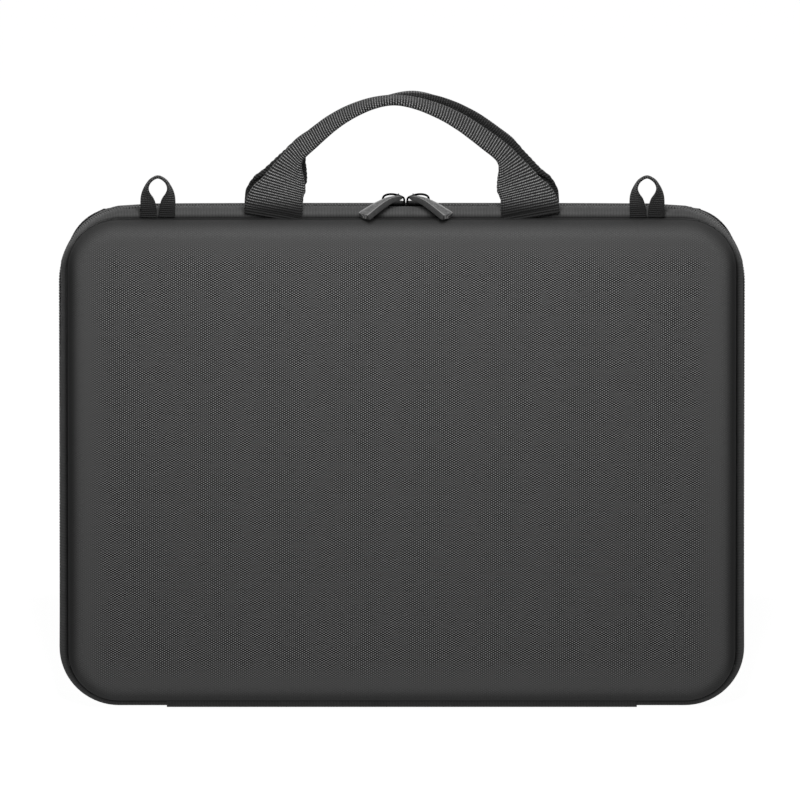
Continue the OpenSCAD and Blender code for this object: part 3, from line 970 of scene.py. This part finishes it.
# The ribbon gets the same painted shade near the seam as the handles.
ribbon = webbing_finish("ribbed_ribbon", 104, 1.1, 0)
for name, loop_x in (("left", -124.1 * mm), ("right", 124.7 * mm)):
    made = strap_mesh(loop_leg, 0, fold_r, 0.4 * mm, 0, 10, 0)
    bmesh.ops.translate(made, vec=(loop_x, 0, 0), verts=made.verts)
    loop = add_piece(name + "_loop_ribbon", made, ribbon, None, 80)
    thicken(loop, ribbon_t, 0)
    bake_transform(loop)
    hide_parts(name + "_loop")

# --------------------------------------------------------------------- sliders
# Cast sliders with a wire bridge, painted black: 12 mm long and 9 mm wide, narrower at the nose.
# A small oval ring hangs on each bridge.
meeting_x = 2 * mm
nose_gap = 0.2 * mm
slider_l = 12 * mm
slider_w = 9 * mm
plate_t = 1.2 * mm
plate_z = 263.35 * mm
under_z = 258.3 * mm
bridge_places = [
    (0.7 * mm, 0, 262.8 * mm), (0.7 * mm, 0, 264.6 * mm), (1.3 * mm, 0, 265.7 * mm),
    (3.2 * mm, 0, 266.6 * mm), (5.6 * mm, 0, 267.3 * mm), (8.3 * mm, 0, 267.4 * mm),
    (10.6 * mm, 0, 266.7 * mm), (11.6 * mm, 0, 265.2 * mm), (11.7 * mm, 0, 262.8 * mm)]


def add_wire(made, path, flat_way, radius, closed):
    """Adds a round wire along a path that lies square to flat_way."""
    sides = 10
    rings = []
    for i, here in enumerate(path):
        before, after = path[max(i - 1, 0)], path[min(i + 1, len(path) - 1)]
        if closed:
            before, after = path[i - 1], path[(i + 1) % len(path)]
        rise = (after - before).cross(flat_way).normalized()
        turns = [2 * math.pi * k / sides for k in range(sides)]
        rings.append([made.verts.new(here + (flat_way * math.cos(a) + rise * math.sin(a)) * radius)
                      for a in turns])
    for near, far in zip(rings, rings[1:] + rings[:1] if closed else rings[1:]):
        for k in range(sides):
            made.faces.new((near[k - 1], near[k], far[k], far[k - 1]))
    if not closed:
        made.faces.new(rings[0])
        made.faces.new(rings[-1])


def to_side(made, side):
    """Moves a piece drawn from its nose towards +X to its own side of the meeting point."""
    bmesh.ops.scale(made, vec=(side, 1, 1), verts=made.verts)
    bmesh.ops.translate(made, vec=(meeting_x + side * nose_gap / 2, 0, 0), verts=made.verts)
    bmesh.ops.recalc_face_normals(made, faces=made.faces)


def slider_mesh(side):
    made = bmesh.new()
    half = [(0, 2.24 * mm), (1 * mm, 3.24 * mm), (4.2 * mm, slider_w / 2),
            (slider_l - 1.5 * mm, slider_w / 2), (slider_l, slider_w / 2 - 1.5 * mm)]
    for low in (under_z, plate_z - plate_t):
        ring = [(x, y, low) for x, y in half] + [(x, -y, low) for x, y in half[::-1]]
        plate = made.faces.new([made.verts.new(place) for place in ring])
        grown = bmesh.ops.extrude_face_region(made, geom=[plate])["geom"]
        top = [v for v in grown if isinstance(v, bmesh.types.BMVert)]
        bmesh.ops.translate(made, vec=(0, 0, plate_t), verts=top)
    bmesh.ops.bevel(made, geom=made.edges, offset=0.3 * mm, segments=2, affect="EDGES", profile=0.5,
                    material=-1)
    post = bmesh.ops.create_cube(made, size=1)["verts"]
    deep = plate_z - under_z - plate_t
    bmesh.ops.scale(made, vec=(3 * mm, 0.9 * mm, deep), verts=post)
    bmesh.ops.translate(made, vec=(2 * mm, 0, (plate_z + under_z) / 2), verts=post)
    arch = [Vector(place) for place in smoothed(bridge_places, 4)]
    add_wire(made, arch, Vector((0, 1, 0)), 0.55 * mm, False)
    to_side(made, side)
    return made


def ring_mesh(side):
    made = bmesh.new()
    middle = Vector((3.6 * mm, -1.3 * mm, 266.3 * mm))
    long_way = Vector((0, -0.94, -0.34)) * 2.1 * mm
    short_way = Vector((0, -0.34, 0.94)) * 1.3 * mm
    turns = [2 * math.pi * i / 28 for i in range(28)]
    path = [middle + long_way * math.cos(a) + short_way * math.sin(a) for a in turns]
    add_wire(made, path, Vector((1, 0, 0)), 0.28 * mm, True)
    to_side(made, side)
    return made


for name, side in (("left", -1), ("right", 1)):
    slider = add_piece(name + "_slider_metal", slider_mesh(side), paint, name + "_slider", 40)
    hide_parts(name + "_slider")
    ring = add_piece(name + "_ring", ring_mesh(side), paint, name + "_pull", 60)
    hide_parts(name + "_pull_link")

# ------------------------------------------------------------------- pull tabs
# Soft tabs moulded round the rings. A raised rim runs round a sunken field on the upper face,
# which is left bare.


def rubber_finish():
    """Mottled grey on the upper face, with its rim lighter as a painted highlight, and painted shade on
    the sides.
    """
    rubber, start = new_finish("moulded_rubber")
    place = start.on_object()
    flat = start.on_cloth()
    from_middle = start.maths("ABSOLUTE", flat.out("Y") - 11)
    # Painted shade: the sides and the underside are darker than the upper face.
    top_over_shaded_sides = 1 - from_middle.between(2.5, 4)
    field = 1 - from_middle.between(0.6, 2)
    grain = place.speckle(0.7 * mm, 4.0)
    cloud = place.speckle(2.4 * mm, 3.0)
    mottled = (0.5 * grain + 0.5 * cloud).between(0.3, 0.7)
    # Painted highlight: the raised rim round the sunken field is lighter.
    top = field.mixed(grey(172), mottled.mixed(grey(88), grey(142)))
    colour = top_over_shaded_sides.mixed(mottled.mixed(grey(58), grey(76)), top)
    close_finish(start, colour, 0.55, grain * (0.06 * mm), {"Specular IOR Level": 0.4})
    return rubber


def tab_outline(wide, thick, sunk):
    """Half of a tab's section, from the middle of its underside to the middle of its field."""
    round_r = 0.35 * mm
    corner_x = wide / 2 - round_r
    corner_z = thick / 2 - round_r
    points = [(0, -thick / 2)]
    for up in (-1, 1):
        for i in range(4):
            a = math.radians(30 * i if up > 0 else 30 * i - 90)
            points.append((corner_x + round_r * math.cos(a), up * corner_z + round_r * math.sin(a)))
    inner = wide / 2 - tab_rim_w
    points += [(inner, thick / 2), (inner - 0.25 * mm, thick / 2 - sunk), (0, thick / 2 - sunk)]
    return points


def tab_mesh(side):
    """A tab on one side of the meeting point, from its ring outwards and down over the band."""
    fine = smoothed(tab_places, 9)
    last = len(fine) - 1
    middle = 11

    def place(i, k):
        x, y, z, wide, turned, thick = fine[i]
        before, after = fine[max(i - 1, 0)], fine[min(i + 1, last)]
        along = (Vector(after[:3]) - Vector(before[:3])).normalized()
        turned = math.radians(turned)
        level = Vector((math.sin(turned), math.cos(turned), 0))
        wide_way = (level - along * level.dot(along)).normalized()
        up_way = along.cross(wide_way)
        if up_way.z < 0:
            up_way = -up_way
        wide_way, up_way = (wide_way * math.cos(tab_roll) - up_way * math.sin(tab_roll),
                            up_way * math.cos(tab_roll) + wide_way * math.sin(tab_roll))
        from_end = min(i, last - i)
        shrink = (0.9, 0.98)[from_end] if from_end < 2 else 1
        field = min(max((i - 7) / 2, 0), max((last - 2 - i) / 2, 0), 1)
        half = tab_outline(wide * shrink, thick * shrink, tab_sunk * field)
        across, high = half[k] if k <= middle else half[2 * middle - k]
        across = across if k <= middle else -across
        return Vector((x, y, z)) + wide_way * across + up_way * high, (i, k)

    made = laid_grid(last, 2 * middle, place)
    bmesh.ops.remove_doubles(made, verts=made.verts, dist=0.001 * mm)
    bmesh.ops.holes_fill(made, edges=[e for e in made.edges if e.is_boundary])
    to_side(made, side)
    return made


rubber = rubber_finish()
tab_rim_w = 0.95 * mm
tab_sunk = 0.35 * mm
tab_roll = math.radians(8)
tab_places = [
    (3.5 * mm, -2.45 * mm, 266.35 * mm, 4.8 * mm, 10, 1.9 * mm),
    (4.4 * mm, -3.25 * mm, 266.25 * mm, 6 * mm, 18, 2.1 * mm),
    (8.9 * mm, -7 * mm, 265.6 * mm, 6.4 * mm, 30, 2.7 * mm),
    (14.6 * mm, -12.4 * mm, 263.5 * mm, 7.6 * mm, 45, 3 * mm),
    (21.2 * mm, -17.8 * mm, 260 * mm, 8.3 * mm, 60, 3 * mm)]
for name, side in (("left", -1), ("right", 1)):
    tab = add_piece(name + "_tab_rubber", tab_mesh(side), rubber, name + "_pull", 35)
    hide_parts(name + "_pull_tab")

# ---------------------------------------------------------------------- studio
# A white floor and background, one soft lamp above and in front, and a long lens that looks down
# on the case by 13.5 degrees from straight ahead.


def floor_finish():
    """White to the camera, and it keeps the shadow. To other rays it is grey and glows faintly, a painted
    fill light from below.
    """
    white, start = new_finish("white_floor")
    camera_ray = start.node("LightPath").out("Is Camera Ray")
    # To all but camera rays the floor is grey and glows faintly, which lights the case from below like a
    # lamp.
    grey_with_fill_glow = start.node("AddShader", None, {0: start.node("BsdfDiffuse", None, {"Color": grey(180)}),
                                          1: start.node("Emission", None, {"Strength": 0.16})})
    white_top = start.node("BsdfDiffuse", None, {"Color": grey(250)})
    glow = start.node("Emission", None, {"Color": grey(255), "Strength": 0.97})
    lit = start.node("AddShader", None, {0: white_top, 1: glow})
    seen = start.node("MixShader", None, {0: camera_ray, 1: grey_with_fill_glow, 2: lit})
    start.node("OutputMaterial", None, {"Surface": seen})
    return white


floor_mesh = bmesh.new()
bmesh.ops.create_grid(floor_mesh, x_segments=1, y_segments=1, size=12)
floor_data = bpy.data.meshes.new("floor")
floor_mesh.to_mesh(floor_data)
floor_data.materials.append(floor_finish())
floor = bpy.data.objects.new("floor", floor_data)
bpy.context.scene.collection.objects.link(floor)

world = bpy.data.worlds.new("studio")
bpy.context.scene.world = world
world.use_nodes = True
world.node_tree.nodes.clear()
sky = Value(world.node_tree)
paths = sky.node("LightPath")
seen = paths.maths("MAXIMUM", paths.out("Is Camera Ray"), paths.out("Is Glossy Ray"))
seen = paths.maths("MAXIMUM", seen, paths.out("Is Transmission Ray"))
strength = 0.02 + 0.98 * seen
background = sky.node("Background", None, {"Color": (1, 1, 1, 1), "Strength": strength})
sky.node("OutputWorld", None, {"Surface": background})

lamp_data = bpy.data.lights.new("key", "AREA")
lamp_data.shape = "RECTANGLE"
lamp_data.size = 0.3
lamp_data.size_y = 0.3
lamp_data.energy = 2.5
lamp = bpy.data.objects.new("key", lamp_data)
lamp.location = (0, -0.45, 0.6)
lamp.rotation_euler = (Vector((0, 0, 0.16)) - lamp.location).to_track_quat("-Z", "Y").to_euler()
bpy.context.scene.collection.objects.link(lamp)

photo_tilt = math.radians(13.5)
photo_distance = 17.0
photo_width = 0.4078
aim = Vector((-0.95 * mm, 0, 159.7 * mm))
camera_data = bpy.data.cameras.new("camera")
camera_data.sensor_width = 36
camera_data.lens = camera_data.sensor_width * photo_distance / photo_width
camera = bpy.data.objects.new("camera", camera_data)
back = Vector((0, -math.cos(photo_tilt), math.sin(photo_tilt)))
camera.location = aim + back * photo_distance
camera.rotation_euler = (-back).to_track_quat("-Z", "Y").to_euler()
bpy.context.scene.collection.objects.link(camera)
bpy.context.scene.camera = camera
bpy.context.scene.view_settings.view_transform = "Standard"
